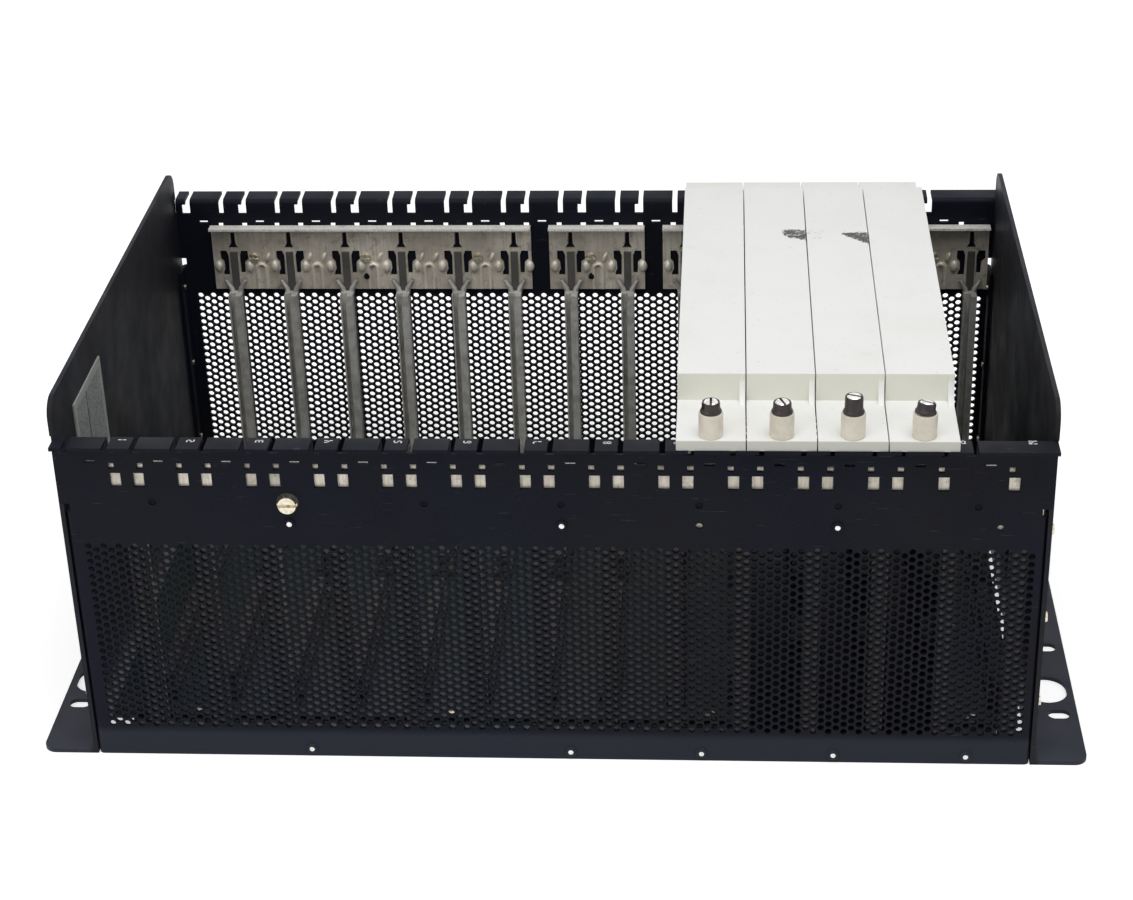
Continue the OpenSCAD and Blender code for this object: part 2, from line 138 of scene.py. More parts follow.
class Paint:
    """A principled material that is built up from procedural patterns."""

    def __init__(self, name, roughness=0.5, metallic=0.0, specular=0.5):
        self.material = bpy.data.materials.new(name)
        self.material.use_nodes = True
        self.tree = self.material.node_tree
        self.shader = self.tree.nodes["Principled BSDF"]
        self.shader.inputs["Roughness"].default_value = roughness
        self.shader.inputs["Metallic"].default_value = metallic
        self.shader.inputs["Specular IOR Level"].default_value = specular
        self.position = self.node("ShaderNodeTexCoord").outputs["Object"]
        self.heights = []

    def node(self, kind, **settings):
        made = self.tree.nodes.new(kind)
        for key, value in settings.items():
            setattr(made, key, value)
        return made

    def put(self, socket, value):
        """Links an output to a socket, or sets the socket's own value."""
        if isinstance(value, bpy.types.NodeSocket):
            self.tree.links.new(value, socket)
        else:
            socket.default_value = value

    def math(self, operation, a, b=0.0, c=0.0, clamp=False):
        made = self.node("ShaderNodeMath", operation=operation, use_clamp=clamp)
        for socket, value in zip(made.inputs, (a, b, c)):
            self.put(socket, value)
        return made.outputs[0]

    def stretched(self, scale, shift=(0, 0, 0)):
        made = self.node("ShaderNodeMapping")
        self.put(made.inputs["Vector"], self.position)
        made.inputs["Scale"].default_value = scale
        made.inputs["Location"].default_value = shift
        return made.outputs[0]

    def noise(self, scale, detail=3.0, rough=0.55, stretch=(1, 1, 1), shift=(0, 0, 0)):
        made = self.node("ShaderNodeTexNoise")
        self.put(made.inputs["Vector"], self.stretched(stretch, shift))
        made.inputs["Scale"].default_value = scale
        made.inputs["Detail"].default_value = detail
        made.inputs["Roughness"].default_value = rough
        return made.outputs["Fac"]

    def cells(self, scale, stretch=(1, 1, 1)):
        made = self.node("ShaderNodeTexVoronoi")
        self.put(made.inputs["Vector"], self.stretched(stretch))
        made.inputs["Scale"].default_value = scale
        return made.outputs["Distance"]

    def between(self, value, low, high):
        """0 at low, 1 at high, smooth and clamped."""
        made = self.node("ShaderNodeMapRange", interpolation_type="SMOOTHSTEP")
        self.put(made.inputs["Value"], value)
        made.inputs["From Min"].default_value = low
        made.inputs["From Max"].default_value = high
        return made.outputs["Result"]

    def remap(self, value, low, high, to_low, to_high):
        made = self.node("ShaderNodeMapRange")
        self.put(made.inputs["Value"], value)
        made.inputs["From Min"].default_value = low
        made.inputs["From Max"].default_value = high
        made.inputs["To Min"].default_value = to_low
        made.inputs["To Max"].default_value = to_high
        return made.outputs["Result"]

    def mix(self, factor, a, b):
        made = self.node("ShaderNodeMix", data_type="RGBA")
        self.put(made.inputs[0], factor)
        self.put(made.inputs[6], (*a, 1) if isinstance(a, tuple) else a)
        self.put(made.inputs[7], (*b, 1) if isinstance(b, tuple) else b)
        return made.outputs[2]

    def axis(self, name):
        made = self.node("ShaderNodeSeparateXYZ")
        self.put(made.inputs[0], self.position)
        return made.outputs[name]

    def colour(self, value):
        if isinstance(value, tuple):
            value = (*value, 1)
        self.put(self.shader.inputs["Base Color"], value)

    def roughness(self, value):
        self.put(self.shader.inputs["Roughness"], value)

    def bump(self, height, distance, strength=1.0):
        """Adds a bump of the given height in metres, on top of the earlier ones."""
        made = self.node("ShaderNodeBump")
        self.put(made.inputs["Height"], height)
        made.inputs["Distance"].default_value = distance
        made.inputs["Strength"].default_value = strength
        if self.heights:
            self.put(made.inputs["Normal"], self.heights[-1])
        self.heights.append(made.outputs[0])
        self.put(self.shader.inputs["Normal"], made.outputs[0])


def black_paint(name, cool, warm, dust, specular, paler_share=None):
    """Satin black paint on steel: cool and brownish drift, orange peel, dust and fine scratches.

    The last argument, when given, is the share of the surface that is painted a paler, bluish tone."""
    p = Paint(name, specular=specular)
    drift = p.between(p.noise(9, 4, 0.6), 0.38, 0.66)
    base = p.mix(drift, cool, warm)
    grain = p.between(p.noise(1500, 2, 0.6), 0.35, 0.7)
    base = p.mix(p.math("MULTIPLY", grain, 0.35), base, tuple(c * 1.9 for c in cool))
    patches = p.between(p.noise(26, 5, 0.7, shift=(3, 1, 2)), 0.55, 0.78)
    specks = p.between(p.noise(420, 2, 0.5, shift=(1, 5, 0)), 0.66, 0.74)
    dirt = p.math("MULTIPLY", p.math("MULTIPLY", specks, patches), dust, clamp=True)
    base = p.mix(dirt, base, (0.16, 0.155, 0.15))
    scratch = p.between(p.noise(70, 2, 0.5, stretch=(1, 1, 14), shift=(0, 2, 7)), 0.70, 0.74)
    base = p.mix(p.math("MULTIPLY", scratch, 0.22), base, (0.10, 0.10, 0.11))
    if paler_share:
        base = p.mix(paler_share(p), base, (0.034, 0.038, 0.054))
    p.colour(base)
    p.roughness(p.remap(p.noise(40, 4), 0.3, 0.7, 0.42, 0.62))
    p.bump(p.noise(1100, 2, 0.5), 0.00004, 0.7)
    p.bump(p.noise(60, 2, 0.5), 0.00008, 0.5)
    return p.material


def foot_band(p):
    """The vent plate's plain foot, below the vent field."""
    return p.math("MULTIPLY", p.between(p.axis("Z"), VENT_LOW - 1 * MM, VENT_LOW - 6 * MM), 0.75)


def guide_back(p):
    """The card guides' backs, close behind the vent plates, where they are painted dark as shade."""
    y = p.math("ABSOLUTE", p.axis("Y"))
    return p.math("MULTIPLY", p.between(y, INNER_Y - 4.5 * MM, INNER_Y - 2.5 * MM), 0.9)


def ear_faces(p):
    """The rack ears, outside the walls."""
    x = p.math("ABSOLUTE", p.axis("X"))
    return p.math("MULTIPLY", p.between(x, HALF_W + 0.5 * MM, HALF_W + 3 * MM), 0.9)


def strip_metal(name, light, dark, metallic):
    """Dull plated steel: warm grey with drawn streaks and stains."""
    p = Paint(name, roughness=0.42, metallic=metallic, specular=0.5)
    drift = p.between(p.noise(34, 4, 0.6), 0.35, 0.68)
    base = p.mix(drift, light, dark)
    streak = p.between(p.noise(60, 4, 0.6, stretch=(18, 18, 1)), 0.35, 0.75)
    base = p.mix(p.math("MULTIPLY", streak, 0.5), base, tuple(c * 0.5 for c in light))
    stain = p.between(p.noise(210, 4, 0.7, shift=(4, 4, 0)), 0.52, 0.70)
    base = p.mix(p.math("MULTIPLY", stain, 0.5), base, tuple(c * 0.35 for c in dark))
    p.colour(base)
    p.roughness(p.remap(streak, 0, 1, 0.34, 0.56))
    p.bump(p.noise(300, 3, 0.6, stretch=(6, 6, 1)), 0.00004, 0.6)
    return p.material


def moulded(name, light, dark, mottle=160.0, rough=(0.45, 0.65), specular=0.4, shade_share=None):
    """Moulded plastic with a slight mottle, grime in patches and a fine skin.

    The last argument, when given, is the share of the surface that is painted dark as shade."""
    p = Paint(name, specular=specular)
    base = p.mix(p.between(p.noise(mottle, 4, 0.65), 0.35, 0.70), light, dark)
    grime = p.between(p.noise(30, 5, 0.7, shift=(2, 0, 5)), 0.55, 0.80)
    base = p.mix(p.math("MULTIPLY", grime, 0.35), base, tuple(c * 0.55 for c in dark))
    # Painted shade: where that share is given, the surface is painted near black.
    if shade_share:
        base = p.mix(shade_share(p), base, tuple(c * 0.12 for c in dark))
    p.colour(base)
    p.roughness(p.remap(p.noise(55, 3), 0.3, 0.7, *rough))
    p.bump(p.noise(900, 2, 0.5), 0.00003, 0.6)
    return p.material


def bright_metal(name, light, dark, rough=(0.22, 0.42)):
    """Plated metal with turning marks and dull spots."""
    p = Paint(name, metallic=1.0)
    base = p.mix(p.between(p.noise(500, 3, 0.6), 0.4, 0.7), light, dark)
    p.colour(base)
    p.roughness(p.remap(p.noise(300, 3), 0.3, 0.7, *rough))
    p.bump(p.noise(2200, 2, 0.5), 0.00001, 0.6)
    return p.material


def circuit_board(name, green, copper):
    """Solder mask over fine tracks."""
    p = Paint(name, specular=0.5)
    tracks = p.between(p.cells(240, (1, 4, 1)), 0.42, 0.5)
    base = p.mix(tracks, green, tuple(c * 1.35 for c in green))
    pads = p.between(p.cells(390), 0.05, 0.09)
    base = p.mix(pads, copper, base)
    p.colour(base)
    p.roughness(p.remap(p.noise(90, 3), 0.3, 0.7, 0.28, 0.45))
    p.bump(tracks, 0.00004, 0.5)
    return p.material


def white_paint(name, residue=()):
    """White lacquer on the module covers: faint yellowing, grime in patches, painted shade on the upright
    drop and end faces, old adhesive.
    """
    p = Paint(name, specular=0.45)
    base = p.mix(p.between(p.noise(18, 4, 0.6), 0.40, 0.75), (0.91, 0.91, 0.90), (0.87, 0.87, 0.84))
    smudge = p.between(p.noise(75, 5, 0.7, shift=(5, 1, 0)), 0.60, 0.82)
    base = p.mix(p.math("MULTIPLY", smudge, 0.22), base, (0.52, 0.51, 0.47))
    specks = p.between(p.noise(700, 2, 0.5, shift=(0, 3, 3)), 0.70, 0.76)
    base = p.mix(p.math("MULTIPLY", specks, 0.35), base, (0.35, 0.33, 0.30))
    y = p.math("ABSOLUTE", p.axis("Y"))
    drop = LIP_EDGE - 0.5 * MM - SHELF_L
    # Painted shade: the upright drop face is painted a darker, yellowish grey.
    short_of_drop = p.between(y, drop - 0.3 * MM, drop - 0.1 * MM)
    past_drop = p.between(y, drop + 0.3 * MM, drop + 0.1 * MM)
    drop_face_shade = p.math("MULTIPLY", short_of_drop, past_drop)
    base = p.mix(p.math("MULTIPLY", drop_face_shade, 0.8), base, (0.76, 0.76, 0.655))
    on_shelf = p.between(y, drop, drop + 2 * MM)
    yellowed = p.between(p.noise(45, 4, 0.6), 0.45, 0.7)
    shelf_tint = p.math("MULTIPLY", on_shelf, yellowed)
    base = p.mix(p.math("MULTIPLY", shelf_tint, 0.5), base, (0.86, 0.85, 0.76))
    # Painted shade: the upright end face is painted a darker grey.
    end_face_shade = p.between(p.math("ABSOLUTE", p.axis("Y")), LIP_EDGE - 1.2 * MM, LIP_EDGE - 0.7 * MM)
    base = p.mix(p.math("MULTIPLY", end_face_shade, 0.8), base, (0.52, 0.52, 0.455))
    for mark in residue:
        base = p.mix(adhesive(p, *mark), base, (0.012, 0.012, 0.012))
    p.colour(base)
    p.roughness(p.remap(p.noise(60, 4), 0.3, 0.7, 0.30, 0.48))
    p.bump(p.noise(800, 2, 0.5), 0.00002, 0.6)
    return p.material


def screw_steel(name):
    """Brassy plated screws; their ends in the vent plates' outer faces are painted over."""
    p = Paint(name, metallic=1.0)
    base = p.mix(p.between(p.noise(500, 3, 0.6), 0.4, 0.7), (0.78, 0.72, 0.58), (0.50, 0.45, 0.34))
    y = p.math("ABSOLUTE", p.axis("Y"))
    end = p.math("MULTIPLY", p.between(y, HALF_D - 1.7 * MM, HALF_D - 1.5 * MM),
                 p.between(y, HALF_D + 0.1 * MM, HALF_D + 0.05 * MM))
    base = p.mix(end, base, (0.008, 0.008, 0.010))
    p.colour(base)
    p.roughness(p.remap(p.noise(300, 3), 0.3, 0.7, 0.22, 0.42))
    p.bump(p.noise(2200, 2, 0.5), 0.00001, 0.6)
    return p.material


def label_foil():
    """Bare foil plate: a pale worn border round two speckled grey fields."""
    low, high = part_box("label_plate")
    p = Paint("label_foil", specular=0.4)
    y = p.axis("Y")
    z = p.axis("Z")
    rim = 3.2 * MM
    inside = p.between(y, low.y + rim, low.y + rim + 0.6 * MM)
    inside = p.math("MULTIPLY", inside, p.between(y, high.y - rim, high.y - rim - 0.6 * MM))
    inside = p.math("MULTIPLY", inside, p.between(z, high.z - rim, high.z - rim - 0.6 * MM))
    middle = low.y + 0.42 * (high.y - low.y)
    divider = p.math("SUBTRACT", y, middle)
    divider = p.between(p.math("ABSOLUTE", divider), 0.9 * MM, 0.5 * MM)
    speckle = p.between(p.noise(1100, 3, 0.7), 0.38, 0.66)
    field = p.mix(speckle, (0.36, 0.38, 0.38), (0.13, 0.14, 0.14))
    base = p.mix(inside, p.mix(p.noise(200, 3), (0.46, 0.47, 0.44), (0.32, 0.33, 0.31)), field)
    base = p.mix(p.math("MULTIPLY", divider, inside), base, (0.035, 0.04, 0.04))
    p.colour(base)
    p.roughness(p.remap(p.noise(120, 3), 0.3, 0.7, 0.35, 0.6))
    p.bump(speckle, 0.00003, 0.5)
    return p.material


def adhesive(p, x0, x1, y0, y1, slant, cover):
    """Share of black residue on the tops between two corners; the mark narrows towards x0 by slant."""
    x = p.axis("X")
    y = p.axis("Y")
    along = p.remap(x, x0, x1, 0, 1)
    low = p.math("ADD", y0, p.math("MULTIPLY", p.math("SUBTRACT", 1, along), slant))
    ragged = p.remap(p.noise(420, 4, 0.75, stretch=(1, 1.6, 1)), 0.3, 0.7, -1.6 * MM, 1.6 * MM)
    y_edge = p.math("ADD", y, ragged)
    x_edge = p.math("ADD", x, ragged)
    from_start = p.between(x_edge, x0, x0 + 0.8 * MM)
    to_end = p.between(x_edge, x1 + 0.4 * MM, x1 - 0.4 * MM)
    inside = p.math("MULTIPLY", from_start, to_end)
    inside = p.math("MULTIPLY", inside, p.between(p.math("SUBTRACT", y_edge, low), 0, 0.9 * MM))
    inside = p.math("MULTIPLY", inside, p.between(y_edge, y1, y1 - 0.9 * MM))
    gaps = p.between(p.noise(300, 5, 0.8, stretch=(1, 2.5, 1), shift=(1, 0, 0)), 0.62 - cover, 0.70 - cover)
    return p.math("MULTIPLY", inside, gaps, clamp=True)


# ---- Mesh helpers --------------------------------------------------------------------

def piece(name, mesh, body, materials, stands_for=()):
    """Links a mesh as a piece that rides on a body, with its finish and the nodes it stands for."""
    made = bpy.data.objects.new(name, mesh)
    bpy.context.scene.collection.objects.link(made)
    for item in materials:
        mesh.materials.append(item)
    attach(made, body)
    if stands_for:
        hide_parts(*stands_for)
    return made


def shade(mesh, angle=32.0):
    """Smooth shading that stays sharp past an angle."""
    mesh.polygons.foreach_set("use_smooth", [True] * len(mesh.polygons))
    mesh.set_sharp_from_angle(angle=math.radians(angle))
    mesh.update()


def round_edges(made, width, segments, angle):
    """Rounds the piece's sharp edges and applies it."""
    bevel = made.modifiers.new("edges", "BEVEL")
    bevel.width = width
    bevel.segments = segments
    bevel.limit_method = "ANGLE"
    bevel.angle_limit = math.radians(angle)
    bevel.use_clamp_overlap = True
    bevel.harden_normals = False
    bpy.context.view_layer.update()
    shown = made.evaluated_get(bpy.context.evaluated_depsgraph_get())
    mesh = bpy.data.meshes.new_from_object(shown)
    made.modifiers.clear()
    old = made.data
    made.data = mesh
    bpy.data.meshes.remove(old)
    shade(mesh)


def circle_points(x, z, d, sides):
    """Corners of a round hole, anticlockwise."""
    step = 2 * math.pi / sides
    angles = [step * (i + 0.5) for i in range(sides)]
    return [(x + d / 2 * math.cos(a), z + d / 2 * math.sin(a)) for a in angles]


def box_points(x0, x1, z0, z1):
    return [(x0, z0), (x1, z0), (x1, z1), (x0, z1)]


def flat_pattern(outline, holes, folds=()):
    """The sheet laid flat: triangles of the outline less its holes, cut along the fold lines."""
    points, edges, faces = [], [], []
    for loop in [outline, *holes]:
        first = len(points)
        points.extend(Vector(p) for p in loop)
        faces.append(list(range(first, len(points))))
    for start, end in folds:
        edges.append((len(points), len(points) + 1))
        points.extend((Vector(start), Vector(end)))
    verts, _, triangles, _, _, parents = delaunay_2d_cdt(points, edges, faces, 1, 1e-8)
    kept = [tri for tri, parent in zip(triangles, parents) if parent == [0]]
    return verts, kept


def folded_sheet(name, pattern, thickness, place):
    """Gives the flat pattern its thickness and folds it: place(u, v, depth) is a point of the sheet."""
    verts, triangles = pattern
    used = sorted({i for tri in triangles for i in tri})
    index = {old: new for new, old in enumerate(used)}
    count = len(used)
    points = [place(verts[i][0], verts[i][1], 0.0) for i in used]
    points += [place(verts[i][0], verts[i][1], thickness) for i in used]
    front = [tuple(index[i] for i in tri) for tri in triangles]
    back = [(c + count, b + count, a + count) for a, b, c in front]
    directed = {(tri[i], tri[(i + 1) % 3]) for tri in front for i in range(3)}
    walls = [(a, a + count, b + count, b) for a, b in directed if (b, a) not in directed]
    mesh = bpy.data.meshes.new(name)
    mesh.from_pydata(points, [], front + back + sorted(walls))
    mesh.validate()
    shade(mesh)
    return mesh


def mirrored(mesh, axis, name):
    """A mirror copy of a mesh across one of the frame's middle planes."""
    copy = mesh.copy()
    copy.name = name
    copy.transform(Matrix.Scale(-1, 4, axis))
    copy.flip_normals()
    return copy


def lathe(bm, profile, centre, sides, material=0):
    """Turns a profile of (radius, height) points about an upright axis."""
    rings = []
    for r, z in profile:
        if r < 1e-7:
            rings.append([bm.verts.new((centre[0], centre[1], centre[2] + z))])
        else:
            ring = []
            for i in range(sides):
                a = 2 * math.pi * i / sides
                x = centre[0] + r * math.cos(a)
                y = centre[1] + r * math.sin(a)
                ring.append(bm.verts.new((x, y, centre[2] + z)))
            rings.append(ring)
    for low, high in zip(rings, rings[1:]):
        for i in range(sides):
            j = (i + 1) % sides
            if len(low) == 1:
                corners = (low[0], high[j], high[i])
            elif len(high) == 1:
                corners = (low[i], low[j], high[0])
            else:
                corners = (low[i], low[j], high[j], high[i])
            face = bm.faces.new(corners)
            face.material_index = material


def in_metres(profile):
    """A profile given in millimetres."""
    return [(a * MM, b * MM) for a, b in profile]


def bm_mesh(name, bm, angle=32.0):
    bmesh.ops.recalc_face_normals(bm, faces=bm.faces)
    mesh = bpy.data.meshes.new(name)
    bm.to_mesh(mesh)
    bm.free()
    shade(mesh, angle)
    return mesh


# ---- Vent plates: one folded sheet each ------------------------------------------------

LIP_BEND_OUT = BEND_IN + PLATE_T
LIP_BEND_Z = MOUTH_H - LIP_BEND_OUT
LIP_BEND_LEN = (BEND_IN + PLATE_T / 2) * math.pi / 2
LIP_FLAT = LIP_EDGE - INNER_Y - LIP_BEND_OUT
SIDE_BEND_IN = 0.8 * MM
SIDE_BEND_OUT = SIDE_BEND_IN + PLATE_T
SIDE_BEND_LEN = (SIDE_BEND_IN + PLATE_T / 2) * math.pi / 2
LIP_TOP = LIP_BEND_Z + LIP_BEND_LEN + LIP_FLAT
LIP_RIGHT = HALF_W - 0.5 * MM
LIP_LEFT = -HALF_W + 2 * MM


def plate_place(u, v, depth):
    """Where a point of the front plate's flat pattern ends up, folded."""
    if v > LIP_BEND_Z:
        turn = min((v - LIP_BEND_Z) / LIP_BEND_LEN, 1.0) * math.pi / 2
        beyond = max(v - LIP_BEND_Z - LIP_BEND_LEN, 0.0)
        r = BEND_IN + depth
        centre_y = -INNER_Y - LIP_BEND_OUT
        return (u, centre_y + r * math.cos(turn) - beyond, LIP_BEND_Z + r * math.sin(turn))
    start = PLATE_HALF - SIDE_BEND_OUT
    if abs(u) > start and v < SHOULDER_Z - 1 * MM:
        turn = min((abs(u) - start) / SIDE_BEND_LEN, 1.0) * math.pi / 2
        beyond = max(abs(u) - start - SIDE_BEND_LEN, 0.0)
        r = SIDE_BEND_OUT - depth
        x = start + r * math.sin(turn)
        y = -HALF_D + SIDE_BEND_OUT - r * math.cos(turn) + beyond
        return (math.copysign(x, u), y, v)
    return (u, -HALF_D + depth, v)


def lip_notches():
    """The lip's notches from left to right, each as the points of its edge going down and up."""
    top = LIP_TOP
    found = []
    for k in range(1, SLOT_COUNT):
        left = slot_x(k) - NOTCH_DX - NOTCH_HALF
        right = slot_x(k) - NOTCH_DX + NOTCH_HALF
        found.append([(left, top), (left, NOTCH_Z), (right, NOTCH_Z), (right, top)])
    for k in range(0, SLOT_COUNT):
        x = slot_x(k) + HOOK_DX
        if x - HOOK_REACH < LIP_LEFT:
            continue
        under = LIP_BEND_Z - 0.2 * MM
        found.append([
            (x - HOOK_HALF, top), (x - HOOK_HALF, under), (x - HOOK_REACH, under),
            (x - HOOK_REACH, NOTCH_Z), (x + HOOK_HALF, NOTCH_Z), (x + HOOK_HALF, top)
        ])
    return sorted(found)


def plate_outline():
    flange = PLATE_HALF - SIDE_BEND_OUT + SIDE_BEND_LEN + FLANGE_DEPTH - SIDE_BEND_OUT + PLATE_T
    flange_top = SHOULDER_Z - 4 * MM
    points = [(LIP_LEFT, LIP_TOP)]
    for notch in lip_notches():
        points += notch
    points += [
        (LIP_RIGHT, LIP_TOP), (LIP_RIGHT, LIP_BEND_Z - 0.1 * MM), (HALF_W, LIP_BEND_Z - 0.1 * MM),
        (HALF_W, SHOULDER_Z), (PLATE_HALF - SIDE_BEND_OUT, SHOULDER_Z),
        (PLATE_HALF - SIDE_BEND_OUT, flange_top), (flange, flange_top),
        (flange, 0), (-flange, 0), (-flange, flange_top),
        (-PLATE_HALF + SIDE_BEND_OUT, flange_top), (-PLATE_HALF + SIDE_BEND_OUT, SHOULDER_Z),
        (-HALF_W, SHOULDER_Z), (-HALF_W, NOTCH_Z), (LIP_LEFT, NOTCH_Z)
    ]
    points.reverse()
    return points


def window_loops(k):
    x = slot_x(k)
    low = STRIP_TOP - 11.2 * MM
    high = STRIP_TOP - 2.2 * MM
    spans = [(-7.6, -2.8, low, low + 7 * MM), (-7.8, -5.2, high, high + 3 * MM),
             (-17.8, -13.3, STRIP_TOP + 0.8 * MM, STRIP_TOP + 2.1 * MM)]
    if k < SLOT_COUNT - 1:
        spans += [(2.7, 7.5, low, low + 7 * MM), (4.8, 7.6, high, high + 3 * MM)]
    return [box_points(x + a * MM, x + b * MM, z0, z1) for a, b, z0, z1 in spans]


def plate_holes(first_row):
    """Every opening of a vent plate; the vent field starts at first_row, counted from the foot."""
    loops = []
    for k in SLOTS:
        loops += window_loops(k)
    for k in SLOTS[::2]:
        d = BIG_SCREW_HOLE if k == BIG_SCREW_SLOT else SCREW_HOLE
        loops.append(circle_points(slot_x(k) + FIXING_DX, STRIP_SCREW_Z, d, FIXING_SIDES))
    for k in STRIP_RIVETS:
        loops.append(circle_points(slot_x(k) + FIXING_DX, STRIP_RIVET_Z, RIVET_HOLE, FIXING_SIDES))
    for k in FOOT_RIVETS:
        x = slot_x(k) + FIXING_DX + MM
        loops.append(circle_points(x, FOOT_RIVET_Z, RIVET_HOLE, FIXING_SIDES))
    for k, dx in ((9, FIXING_DX), (14, -FIXING_DX)):
        loops.append(circle_points(slot_x(k) + dx, STRIP_RIVET_Z, 3 * MM, FIXING_SIDES))
    for i in range(VENT_COLUMNS):
        x = VENT_LEFT + i * VENT_PITCH * math.sqrt(3) / 2
        for j in range(first_row, VENT_ROWS - i % 2):
            z = VENT_LOW + (j + (i % 2) / 2) * VENT_PITCH
            loops.append(circle_points(x, z, VENT_HOLE, VENT_SIDES))
    return loops


def plate_folds():
    lines = []
    steps = 5
    for i in range(steps + 1):
        v = LIP_BEND_Z + LIP_BEND_LEN * i / steps
        lines.append(((LIP_LEFT - MM, v), (LIP_RIGHT + MM, v)))
        u = PLATE_HALF - SIDE_BEND_OUT + SIDE_BEND_LEN * i / steps
        for s in (-1, 1):
            lines.append(((s * u, -MM), (s * u, SHOULDER_Z - 4 * MM)))
    return lines


def vent_plates(paint):
    outline = plate_outline()
    folds = plate_folds()
    pattern = flat_pattern(outline, plate_holes(0), folds)
    front = folded_sheet("front_vent_sheet", pattern, PLATE_T, plate_place)
    pattern = flat_pattern(outline, plate_holes(BACK_FIRST_ROW), folds)
    drawn = folded_sheet("scrap", pattern, PLATE_T, plate_place)
    back = mirrored(drawn, (0, 1, 0), "back_vent_sheet")
    bpy.data.meshes.remove(drawn)
    for mesh, node in ((front, "front_vent_plate"), (back, "back_vent_plate")):
        piece(mesh.name, mesh, "cage", [paint], [node])


# ---- Guide strips: formed sheet with embossings ------------------------------------------

BEND_R = 0.6 * MM
STRIP_SPANS = (("left", 1, 6), ("middle", 7, 8), ("right", 9, 14))
STRIP_BEFORE = 12 * MM                   # from a strip's left end to its first guide line
STRIP_AFTER = 8.4 * MM                   # from its last guide line to its right end, at most
LUG_DX = 13.7 * MM                       # middle of the arch lug, from the guide line on its left
LUG_HALF = 2.3 * MM
LUG_R = 1.15 * MM


def strip_place(u, v, depth):
    """Where a point of a front strip's flat pattern ends up, its flange folded inwards."""
    outer = BEND_R + STRIP_T
    turn_len = (BEND_R + STRIP_T / 2) * math.pi / 2
    start = STRIP_TOP - outer
    y0 = -INNER_Y
    if v <= start:
        return (u, y0 + depth, v)
    turn = min((v - start) / turn_len, 1.0) * math.pi / 2
    beyond = max(v - start - turn_len, 0.0)
    r = outer - depth
    return (u, y0 + outer - r * math.cos(turn) + beyond, start + r * math.sin(turn))


def strip_openings(x):
    """The cut-outs round guide line x: a slit that ends in a small triangle, and two pinched windows."""
    def at(points):
        return [(x + a * MM, STRIP_TOP + b * MM) for a, b in points]
    slit = at([(-3.6, -13.2), (1.9, -13.2), (0.5, -10.6), (0.3, -4.2), (-1.7, -4.2), (-1.9, -10.6)])
    left = at([(-3.9, -29.0), (-3.7, -17.6), (-4.7, -14.8), (-8.0, -14.8), (-8.0, -19.6), (-6.5, -21.4),
               (-6.2, -25.2), (-7.2, -27.4), (-7.2, -29.0)])
    right = at([(2.3, -27.8), (4.6, -27.8), (4.7, -25.2), (4.9, -21.4), (6.9, -19.6), (6.7, -14.8),
                (3.2, -14.8), (2.2, -17.6)])
    return [anticlockwise(loop) for loop in (slit, left, right)]


def anticlockwise(loop):
    """The loop, turned round where it runs clockwise."""
    area = sum(a[0] * b[1] - b[0] * a[1] for a, b in zip(loop, loop[1:] + loop[:1]))
    return loop if area > 0 else loop[::-1]


def strip_sheet(name, first, last, high_x):
    x0 = slot_x(first) - STRIP_BEFORE
    x1 = min(slot_x(last) + STRIP_AFTER, high_x)
    turn_len = (BEND_R + STRIP_T / 2) * math.pi / 2
    start = STRIP_TOP - BEND_R - STRIP_T
    top = start + turn_len + STRIP_FLANGE - BEND_R - STRIP_T
    holes = []
    for k in range(first, last + 1):
        holes += strip_openings(slot_x(k))
        if k < last:
            holes.append(circle_points(slot_x(k) + LUG_DX, STRIP_TOP - 23.4 * MM, 1.5 * MM, 12))
        if k % 2 and slot_x(k) + FIXING_DX < x1 - 3 * MM:
            x = slot_x(k) + FIXING_DX
            holes.append(circle_points(x, STRIP_SCREW_Z, SCREW_HOLE, FIXING_SIDES))
    folds = [((x0 - MM, start + turn_len * i / 4), (x1 + MM, start + turn_len * i / 4)) for i in range(5)]
    pattern = flat_pattern(box_points(x0, x1, STRIP_LOW, top), holes, folds)
    mesh = folded_sheet(name, pattern, STRIP_T, strip_place)
    # Painted light: the flange's faces take the second, lighter metal.
    for face in mesh.polygons:
        if face.center.z > STRIP_TOP - STRIP_T - 0.1 * MM and face.center.y > -INNER_Y + BEND_R:
            face.material_index = 1
    return mesh


def tube(bm, path, radii, sides=10, flat=1.0):
    """A closed rib with round ends along a path in a plane of constant y; flat squeezes it along y."""
    rings = []
    for i, (point, radius) in enumerate(zip(path, radii)):
        ahead = Vector(path[min(i + 1, len(path) - 1)])
        behind = Vector(path[max(i - 1, 0)])
        along = (ahead - behind).normalized()
        across = along.cross(Vector((0, 1, 0))).normalized()
        ring = []
        for n in range(sides):
            a = 2 * math.pi * n / sides
            ring.append(bm.verts.new(Vector(point) + across * radius * math.cos(a)
                                     + Vector((0, flat * radius * math.sin(a), 0))))
        rings.append(ring)
    for low, high in zip(rings, rings[1:]):
        for n in range(sides):
            m = (n + 1) % sides
            bm.faces.new((low[n], low[m], high[m], high[n]))
    bm.faces.new(rings[0][::-1])
    bm.faces.new(rings[-1])


def swelling(start, end, radius, steps=8):
    """Path and radii of a pillow-shaped bump between two points."""
    path, radii = [], []
    for i in range(steps + 1):
        t = i / steps
        path.append(Vector(start).lerp(Vector(end), t))
        radii.append(radius * max(math.sqrt(max(1 - (2 * t - 1) ** 2, 0)), 0.12))
    return path, radii


